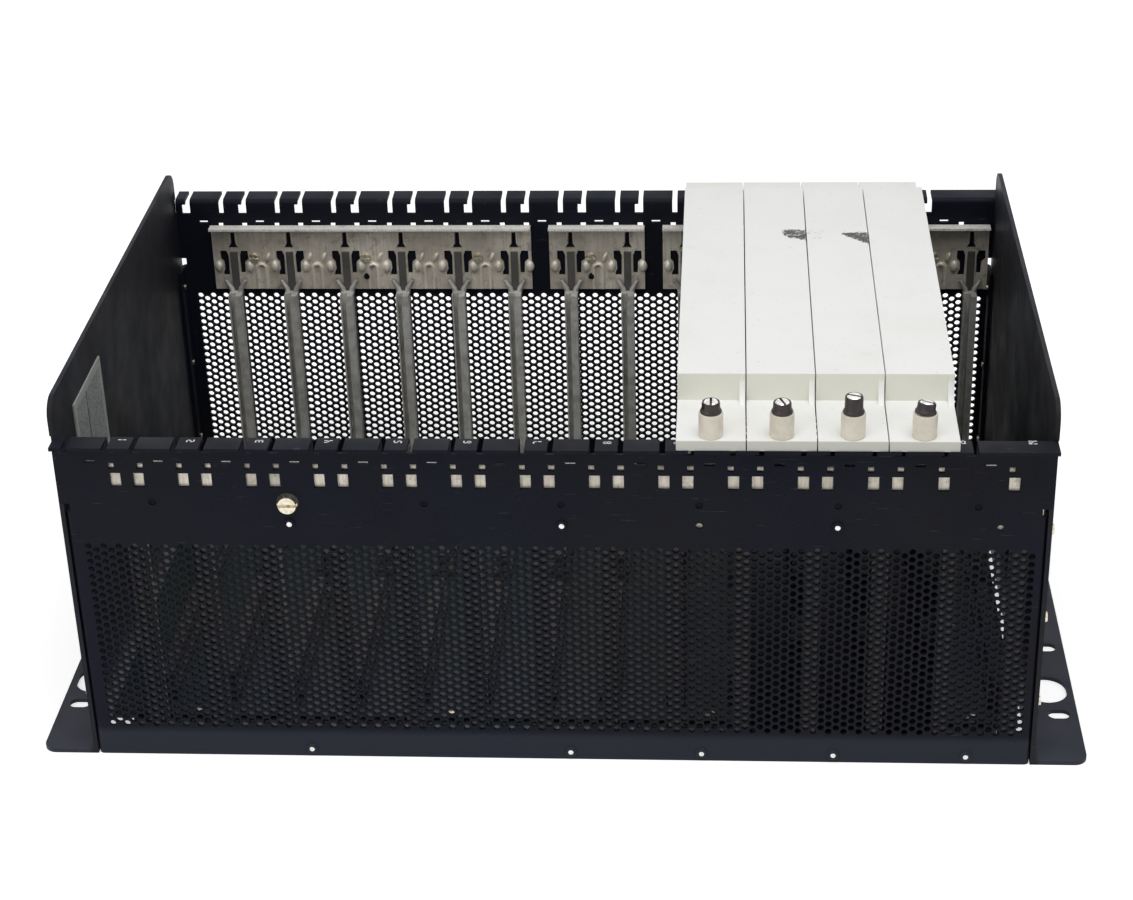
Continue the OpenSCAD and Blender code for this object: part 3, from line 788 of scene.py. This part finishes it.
def strip_embossings(name, first, last, high_x):
    """Raised forms on the strip's inner face: arch lugs, cheeks, slanted darts and the slit's edges."""
    bm = bmesh.new()
    y = -INNER_Y + STRIP_T
    for k in range(first, last + 1):
        x = slot_x(k)
        for dx in (-2.4, 1.0):
            path = [(x + dx * MM, y, STRIP_TOP - z * MM) for z in (3.4, 5, 7, 9, 10.6)]
            tube(bm, path, [0.3 * MM, 0.5 * MM, 0.5 * MM, 0.5 * MM, 0.3 * MM], 8)
        for dx in (-9.2, 7.4):
            if x + dx * MM > high_x - 2.4 * MM:
                continue
            head = (x + dx * MM, y, STRIP_TOP - 20.4 * MM)
            foot = (x + dx * MM, y, STRIP_TOP - 27.2 * MM)
            path, radii = swelling(head, foot, 2.3 * MM)
            tube(bm, path, radii, 12, 0.9)
        if k == last:
            continue
        lug_x = x + LUG_DX
        foot = STRIP_LOW + 0.6 * MM
        crown = STRIP_TOP - 24.6 * MM
        arch = [(lug_x - LUG_HALF, y, foot), (lug_x - LUG_HALF, y, crown)]
        for i in range(1, 8):
            a = math.pi * (1 - i / 8)
            arch.append((lug_x + LUG_HALF * math.cos(a), y, crown + LUG_HALF * math.sin(a)))
        arch += [(lug_x + LUG_HALF, y, crown), (lug_x + LUG_HALF, y, foot)]
        tube(bm, arch, [LUG_R] * len(arch), 10, 1.3)
        for dx in (-3.9, 3.7):
            path, radii = swelling((lug_x + (dx - 1.0) * MM, y, STRIP_TOP - 21.2 * MM),
                                   (lug_x + (dx + 1.0) * MM, y, STRIP_TOP - 15.8 * MM), 1.35 * MM)
            tube(bm, path, radii, 10, 1.2)
    return bm_mesh(name, bm, 50)


def strip_pieces(side, span, sheet, relief, metals):
    """Places one strip and its embossings; metals are those of the web, the flange and the relief."""
    web, flange, raised = metals
    piece(sheet.name, sheet, "cage", [web, flange], [f"{side}_strip_{span}"])
    piece(relief.name, relief, "cage", [raised])


def guide_strips(metals):
    high_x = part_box("front_strip_right")[1].x
    for span, first, last in STRIP_SPANS:
        sheet = strip_sheet(f"front_strip_{span}_sheet", first, last, high_x)
        relief = strip_embossings(f"front_strip_{span}_relief", first, last, high_x)
        strip_pieces("front", span, sheet, relief, metals)
        back_sheet = mirrored(sheet, (0, 1, 0), f"back_strip_{span}_sheet")
        back_relief = mirrored(relief, (0, 1, 0), f"back_strip_{span}_relief")
        strip_pieces("back", span, back_sheet, back_relief, metals)


def guide_horns(plastic):
    """Two ribs that spread from the head of each card guide over the strip's foot, as a Y."""
    bm = bmesh.new()
    y = -INNER_Y + STRIP_T + 2.2 * MM
    for k in SLOTS:
        x = slot_x(k) + GUIDE_DX
        for s in (-1, 1):
            foot = (x + s * 2.0 * MM, y, STRIP_LOW - 1.5 * MM)
            knee = (x + s * 2.6 * MM, y, STRIP_LOW + 1.5 * MM)
            tip = (x + s * 5.4 * MM, y, STRIP_LOW + 6.4 * MM)
            tube(bm, [foot, knee, tip], [1.6 * MM, 1.5 * MM, 1.0 * MM], 8, 1.2)
    front = bm_mesh("front_guide_horns", bm, 45)
    back = mirrored(front, (0, 1, 0), "back_guide_horns")
    for mesh in (front, back):
        piece(mesh.name, mesh, "cage", [plastic])


# ---- Module covers ------------------------------------------------------------------------

def shell_part(bm, outer, inner, xs, inner_xs):
    """A bent cover, open below: outer and inner outlines in Y and Z run from foot to foot."""
    def row(outline, x):
        return [bm.verts.new((x, y, z)) for y, z in outline]
    left, right = row(outer, xs[0]), row(outer, xs[1])
    in_left, in_right = row(inner, inner_xs[0]), row(inner, inner_xs[1])
    for a, b in ((left, right), (in_right, in_left)):
        for i in range(len(a) - 1):
            bm.faces.new((a[i], a[i + 1], b[i + 1], b[i]))
        bm.faces.new(a[::-1])
        bm.faces.new(b)
    for out_row, in_row in ((left, in_left), (right, in_right)):
        bm.faces.new((out_row[0], out_row[-1], in_row[-1], in_row[0]))
    for end in (0, -1):
        bm.faces.new((left[end], right[end], in_right[end], in_left[end]))


def module_covers(paints):
    """White covers: a raised top with an end shelf at each end and a ramp beside each drop."""
    for k in MODULES:
        node = f"module_{k}_cover"
        low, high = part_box(node)
        end = high.y
        shelf = MOUTH_H + SHELF_H
        drop = end - SHELF_L
        wall = COVER_T
        outer = [(-end, low.z), (-end, shelf), (-drop, shelf), (-drop, high.z),
                 (drop, high.z), (drop, shelf), (end, shelf), (end, low.z)]
        inner = [(-end + wall, low.z), (-end + wall, shelf - wall), (-drop + wall, shelf - wall),
                 (-drop + wall, high.z - wall), (drop - wall, high.z - wall), (drop - wall, shelf - wall),
                 (end - wall, shelf - wall), (end - wall, low.z)]
        bm = bmesh.new()
        shell_part(bm, outer, inner, (low.x, high.x), (low.x + wall, high.x - wall))
        bmesh.ops.recalc_face_normals(bm, faces=bm.faces)
        for s in (-1, 1):
            xs = (high.x - RAMP_W, high.x - 0.05 * MM)
            zs = (shelf - 0.3 * MM, high.z - 0.5 * MM)
            ramp(bm, xs, s * drop, zs, s * RAMP_L)
        mesh = bm_mesh(f"{node}_shell", bm)
        made = piece(mesh.name, mesh, f"module_{k}", [paints[k]], [node])
        round_edges(made, 0.45 * MM, 3, 40)


def ramp(bm, xs, y, zs, reach):
    """Curved fillet beside a drop, from the raised top down to the shelf."""
    z0, z1 = zs
    root = y - math.copysign(0.3 * MM, reach)
    outline = [(root, z0), (root, z1)]
    for i in range(7):
        a = math.pi / 2 * i / 6
        outline.append((y + reach * (1 - math.cos(a)), z1 - (z1 - z0) * math.sin(a)))
    left = [bm.verts.new((xs[0], a, b)) for a, b in outline]
    right = [bm.verts.new((xs[1], a, b)) for a, b in outline]
    count = len(outline)
    faces = [bm.faces.new(left), bm.faces.new(right[::-1])]
    for i in range(count):
        j = (i + 1) % count
        faces.append(bm.faces.new((left[j], left[i], right[i], right[j])))
    bmesh.ops.recalc_face_normals(bm, faces=faces)


# ---- Latches ------------------------------------------------------------------------------

CAP_HEIGHTS = {10: 4.9 * MM, 11: 4.9 * MM, 12: 7.7 * MM, 13: 4.6 * MM}
CAP_TILT = {13: (-9, 7)}                 # degrees about X and Y
CAP_TURN = {10: 0, 11: 20, 12: 70, 13: 62}
CAP_RIBS = 24
CROWN_SLOT_HALF = 0.55                   # millimetres
LATCH_SIDES = 48


def latch_posts(cream):
    """Turned posts with a rolled rim, open at the top."""
    for k in MODULES:
        low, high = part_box(f"module_{k}_latch_post")
        centre = ((low.x + high.x) / 2, (low.y + high.y) / 2, MOUTH_H + SHELF_H)
        r = (high.x - low.x) / 2
        edge = r / MM
        top = (high.z - centre[2]) / MM
        profile = [
            (0, -1.8), (2, -1.8), (2, 0.0), (edge - 0.35, 0.0), (edge, 0.35), (edge, top - 0.5),
            (edge - 0.12, top - 0.16), (edge - 0.5, top), (3.0, top), (2.7, top - 0.4),
            (2.7, top - 4), (0, top - 4)
        ]
        bm = bmesh.new()
        lathe(bm, in_metres(profile), centre, LATCH_SIDES)
        mesh = bm_mesh(f"module_{k}_latch_post_turned", bm, 40)
        piece(mesh.name, mesh, f"module_{k}", [cream], [f"module_{k}_latch_post"])


def knurl(bm, h):
    """Draws the sleeve's wall in between its ribs; h is the cap's height in millimetres."""
    for vert in bm.verts:
        r = math.hypot(vert.co.x, vert.co.y)
        if r > 3.7 * MM and 1.3 * MM < vert.co.z < (h - 0.4) * MM:
            a = math.atan2(vert.co.y, vert.co.x)
            scale = 1 - 0.035 * (1 + math.cos(CAP_RIBS * a)) / 2
            vert.co.x *= scale
            vert.co.y *= scale


def slotted_crown(bm, top):
    """Two half discs with a slot between them, in the cap's second material."""
    for s in (-1, 1):
        disc = []
        for level, r in ((top - 0.4, 3.15), (top + 0.55, 3.1), (top + 0.95, 2.7)):
            ring = []
            reach = math.acos(CROWN_SLOT_HALF / r)
            for i in range(17):
                a = -reach + 2 * reach * i / 16
                x = s * r * math.cos(a) * MM
                y = s * r * math.sin(a) * MM
                ring.append(bm.verts.new((x, y, level * MM)))
            disc.append(ring)
        count = len(disc[0])
        made = []
        for below, above in zip(disc, disc[1:]):
            for i in range(count):
                j = (i + 1) % count
                made.append(bm.faces.new((below[i], below[j], above[j], above[i])))
        made.append(bm.faces.new(disc[-1]))
        made.append(bm.faces.new(disc[0][::-1]))
        for face in made:
            face.material_index = 1


def latch_caps(black, crown):
    """Knurled dark sleeves with a flared foot round a bright slotted crown."""
    for k in MODULES:
        low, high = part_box(f"module_{k}_latch_cap")
        post_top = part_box(f"module_{k}_latch_post")[1].z
        centre = Vector(((low.x + high.x) / 2, (low.y + high.y) / 2, post_top + 0.15 * MM))
        h = CAP_HEIGHTS[k] / MM
        profile = [
            (0, -3.5), (2.5, -3.5), (2.5, 0.0), (4.5, 0.0), (4.65, 0.5), (4.45, 1.0), (4.1, 1.5),
            (3.95, 2.1), (3.9, h - 0.8), (3.75, h - 0.25), (3.5, h), (3.25, h - 0.1),
            (3.2, h - 0.8), (0, h - 0.8)
        ]
        bm = bmesh.new()
        lathe(bm, in_metres(profile), (0, 0, 0), LATCH_SIDES)
        knurl(bm, h)
        slotted_crown(bm, h - 0.75)
        lean = Matrix.Identity(4)
        if k in CAP_TILT:
            a, b = CAP_TILT[k]
            lean = Matrix.Rotation(math.radians(a), 4, "X") @ Matrix.Rotation(math.radians(b), 4, "Y")
        turn = Matrix.Rotation(math.radians(CAP_TURN[k]), 4, "Z")
        bm.transform(Matrix.Translation(centre) @ lean @ turn)
        mesh = bm_mesh(f"module_{k}_latch_cap_turned", bm, 40)
        piece(mesh.name, mesh, f"latch_{k}", [black, crown], [f"module_{k}_latch_cap"])


# ---- Rivets, lip numbers -------------------------------------------------------------------

# Profiles in millimetres from the plate's outer face: the painted head and the bare mandrel.
RIVET_HEAD = (
    (0, -4.4), (1.55, -4.4), (1.55, -0.01), (2.8, -0.01), (2.75, 0.35), (2.3, 0.85), (1.45, 1.1),
    (1.3, 1.05), (1.3, 0.7), (0, 0.7)
)
RIVET_MANDREL = ((0, 0.6), (1.22, 0.6), (1.22, 0.95), (0.9, 1.17), (0, 1.2))


def rivets(paint, bright):
    """Painted pop-rivet domes with bare mandrel ends."""
    places = []
    for k in FOOT_RIVETS:
        places.append((slot_x(k) + FIXING_DX + MM, FOOT_RIVET_Z))
    for k in STRIP_RIVETS:
        places.append((slot_x(k) + FIXING_DX, STRIP_RIVET_Z))
    bm = bmesh.new()
    for x, z in places:
        for index, profile in enumerate((RIVET_HEAD, RIVET_MANDREL)):
            part = bmesh.new()
            lathe(part, in_metres(profile), (0, 0, 0), 24, index)
            part.transform(Matrix.Translation((x, -HALF_D, z)) @ Matrix.Rotation(math.pi / 2, 4, "X"))
            scrap = bpy.data.meshes.new("scrap")
            part.to_mesh(scrap)
            part.free()
            bm.from_mesh(scrap)
            bpy.data.meshes.remove(scrap)
    front = bm_mesh("front_rivets", bm, 40)
    back = mirrored(front, (0, 1, 0), "back_rivets")
    piece("front_rivets", front, "cage", [paint, bright], ["cage_rivets"])
    piece("back_rivets", back, "cage", [paint, bright])


SEGMENTS = {
    "0": "abcdef", "1": "bc", "2": "abged", "3": "abgcd", "4": "fgbc",
    "5": "afgcd", "6": "afgedc", "7": "abc", "8": "abcdefg", "9": "abcdfg"
}


def lip_numbers(ink):
    """Slot numbers printed sideways on the lip tabs, in plain seven-stroke figures."""
    w = 1.5 * MM
    h = 3.0 * MM
    line = 0.6 * MM
    strokes = {"a": (0, h, w, h), "b": (w, h / 2, w, h), "c": (w, 0, w, h / 2), "d": (0, 0, w, 0),
               "e": (0, 0, 0, h / 2), "f": (0, h / 2, 0, h), "g": (0, h / 2, w, h / 2)}
    bm = bmesh.new()
    z = MOUTH_H + 0.02 * MM
    for k in SLOTS:
        start = Vector((slot_x(k) + 2.4 * MM, -HALF_D - 3.6 * MM))
        for n, figure in enumerate(str(k)):
            for name in SEGMENTS[figure]:
                x0, y0, x1, y1 = strokes[name]
                corners = []
                for a, b in box_points(min(x0, x1) - line / 2, max(x0, x1) + line / 2,
                                       min(y0, y1) - line / 2, max(y0, y1) + line / 2):
                    a += n * (w + 0.9 * MM)
                    corners.append(bm.verts.new((start.x - b, start.y - (0.6 * MM - a), z)))
                bm.faces.new(corners)
    mesh = bm_mesh("lip_numbers", bm)
    piece("lip_numbers", mesh, "cage", [ink])


# ---- Stage, lights and camera ---------------------------------------------------------

def white_backdrop():
    """Pale floor that reads as the white studio ground and keeps a soft shadow."""
    p = Paint("floor_paper", roughness=0.9, specular=0.1)
    base = p.mix(p.noise(3, 2), (0.82, 0.82, 0.82), (0.84, 0.84, 0.84))
    p.colour(base)
    ray = p.node("ShaderNodeLightPath")
    seen = p.math("MAXIMUM", ray.outputs["Is Camera Ray"], ray.outputs["Is Glossy Ray"])
    seen = p.math("MAXIMUM", seen, ray.outputs["Is Transmission Ray"])
    p.shader.inputs["Emission Color"].default_value = (1, 1, 1, 1)
    p.put(p.shader.inputs["Emission Strength"], p.math("MULTIPLY", seen, 0.55))
    bm = bmesh.new()
    bmesh.ops.create_grid(bm, x_segments=4, y_segments=4, size=6)
    mesh = bm_mesh("floor", bm)
    mesh.materials.append(p.material)
    floor = bpy.data.objects.new("floor", mesh)
    floor.location.z = cad_box[0][2] - 0.1 * MM
    bpy.context.scene.collection.objects.link(floor)


def studio_world():
    world = bpy.data.worlds.new("studio")
    bpy.context.scene.world = world
    world.use_nodes = True
    tree = world.node_tree
    shader = tree.nodes["Background"]
    shader.inputs["Color"].default_value = (1, 1, 1, 1)
    ray = tree.nodes.new("ShaderNodeLightPath")
    seen = ray.outputs["Is Camera Ray"]
    for name in ("Is Glossy Ray", "Is Transmission Ray"):
        either = tree.nodes.new("ShaderNodeMath")
        either.operation = "MAXIMUM"
        tree.links.new(seen, either.inputs[0])
        tree.links.new(ray.outputs[name], either.inputs[1])
        seen = either.outputs[0]
    level = tree.nodes.new("ShaderNodeMapRange")
    tree.links.new(seen, level.inputs["Value"])
    level.inputs["To Min"].default_value = 0.42
    level.inputs["To Max"].default_value = 1.0
    tree.links.new(level.outputs["Result"], shader.inputs["Strength"])


def soft_light(name, place, aim, size, power):
    lamp = bpy.data.lights.new(name, "AREA")
    lamp.shape = "RECTANGLE"
    lamp.size, lamp.size_y = size
    lamp.energy = power
    made = bpy.data.objects.new(name, lamp)
    made.location = place
    made.rotation_euler = (Vector(aim) - Vector(place)).to_track_quat("-Z", "Y").to_euler()
    bpy.context.scene.collection.objects.link(made)


def camera():
    data = bpy.data.cameras.new("camera")
    data.lens = 77.82
    data.sensor_width = 36
    made = bpy.data.objects.new("camera", data)
    stand = Vector((0.0751, -1.0552, 0.6633))
    turn = math.radians(4.167)
    tilt = math.radians(90 - 28.463)
    roll = math.radians(-1.717)
    made.matrix_world = (
        Matrix.Translation(stand) @ Matrix.Rotation(turn, 4, "Z")
        @ Matrix.Rotation(tilt, 4, "X") @ Matrix.Rotation(roll, 4, "Z")
    )
    bpy.context.scene.collection.objects.link(made)
    bpy.context.scene.camera = made


# ---- Making it ----------------------------------------------------------------------------

bpy.context.scene.view_settings.view_transform = "Standard"
camera()
white_backdrop()
studio_world()
soft_light("key", (0.25, -0.55, 1.75), (0, 0, 0.1), (1.6, 1.2), 15)
soft_light("fill", (-1.1, -1.3, 0.9), (0, 0, 0.1), (1.2, 1.2), 5)

panel_paint = black_paint("panel_paint", (0.0085, 0.0100, 0.0165), (0.0120, 0.0105, 0.0115),
                          0.8, 0.15, ear_faces)
plate_paint = black_paint("plate_paint", (0.0060, 0.0072, 0.0140), (0.0078, 0.0080, 0.0105),
                          0.5, 0.09, foot_band)
metal = strip_metal("strip_metal", (0.88, 0.81, 0.70), (0.56, 0.50, 0.42), 0.3)
# Painted light: the flange's metal is a lighter copy of the strip metal, for the top face that catches the
# lamps.
lit_flange_metal = strip_metal("strip_lit_flange_metal", (0.95, 0.93, 0.87), (0.88, 0.86, 0.80), 0.0)
# Painted highlights: the embossings' metal is a lighter copy of the strip metal.
lit_relief_metal = strip_metal("strip_lit_relief_metal", (0.95, 0.90, 0.78), (0.70, 0.64, 0.54), 0.2)
guide_plastic = moulded("guide_plastic", (0.56, 0.55, 0.52), (0.36, 0.35, 0.32), shade_share=guide_back)
socket_plastic = moulded("socket_plastic", (0.050, 0.046, 0.040), (0.030, 0.028, 0.025))
cream = moulded("post_cream", (0.78, 0.74, 0.63), (0.66, 0.61, 0.50), 90, (0.30, 0.45))
rail = bright_metal("rail_metal", (0.16, 0.155, 0.15), (0.09, 0.088, 0.085), (0.45, 0.65))
screw_metal = screw_steel("screw_metal")
rivet_metal = bright_metal("rivet_metal", (0.85, 0.85, 0.84), (0.60, 0.60, 0.58))
crown_metal = bright_metal("crown_metal", (0.92, 0.91, 0.89), (0.66, 0.63, 0.60), (0.10, 0.28))
board_green = circuit_board("board_green", (0.010, 0.040, 0.020), (0.28, 0.21, 0.10))
# Painted shade: the backplane's finish is a darker copy of the module boards' one, for its place deep in
# the cage.
shaded_backplane_green = circuit_board("shaded_backplane_green", (0.004, 0.013, 0.008), (0.09, 0.07, 0.04))
cap_black = moulded("cap_black", (0.034, 0.023, 0.023), (0.014, 0.011, 0.011), 300, (0.25, 0.45))
label = label_foil()
print_ink = moulded("print_ink", (0.90, 0.91, 0.93), (0.70, 0.71, 0.75), 900)

# Old adhesive on the covers: x0, x1, y0, y1, slant and cover of each mark.
RESIDUE = {
    11: [(0.1035, 0.1149, 0.0375, 0.0515, 0.006, 0.26)],
    12: [(0.1148, 0.1225, 0.0400, 0.0515, 0.0, 0.06), (0.1225, 0.1340, 0.0430, 0.0520, 0.0, -0.02),
         (0.1320, 0.1449, 0.0330, 0.0480, 0.012, 0.26)]
}
whites = {k: white_paint(f"white_{k}", RESIDUE.get(k, ())) for k in MODULES}

FINISHES = {
    "left_side_panel": panel_paint, "right_side_panel": panel_paint,
    "backplane": shaded_backplane_green, "backplane_sockets": socket_plastic, "backplane_rails": rail,
    "cage_screws": screw_metal, "cage_rivets": rivet_metal, "label_plate": label
}


def finish_of(node):
    if node in FINISHES:
        return FINISHES[node]
    if "_strip_" in node:
        return metal
    if "_guide_" in node:
        return guide_plastic
    if node.endswith("_board"):
        return board_green
    if node.endswith("_latch_post"):
        return cream
    if node.endswith("_latch_cap"):
        return cap_black
    if node.endswith("_cover"):
        return whites[int(node.split("_")[1])]
    return plate_paint


for name, thing in nodes.items():
    thing.data.materials.clear()
    thing.data.materials.append(finish_of(name))

vent_plates(plate_paint)
guide_strips((metal, lit_flange_metal, lit_relief_metal))
guide_horns(guide_plastic)
module_covers(whites)
latch_posts(cream)
latch_caps(cap_black, crown_metal)
rivets(plate_paint, rivet_metal)
lip_numbers(print_ink)
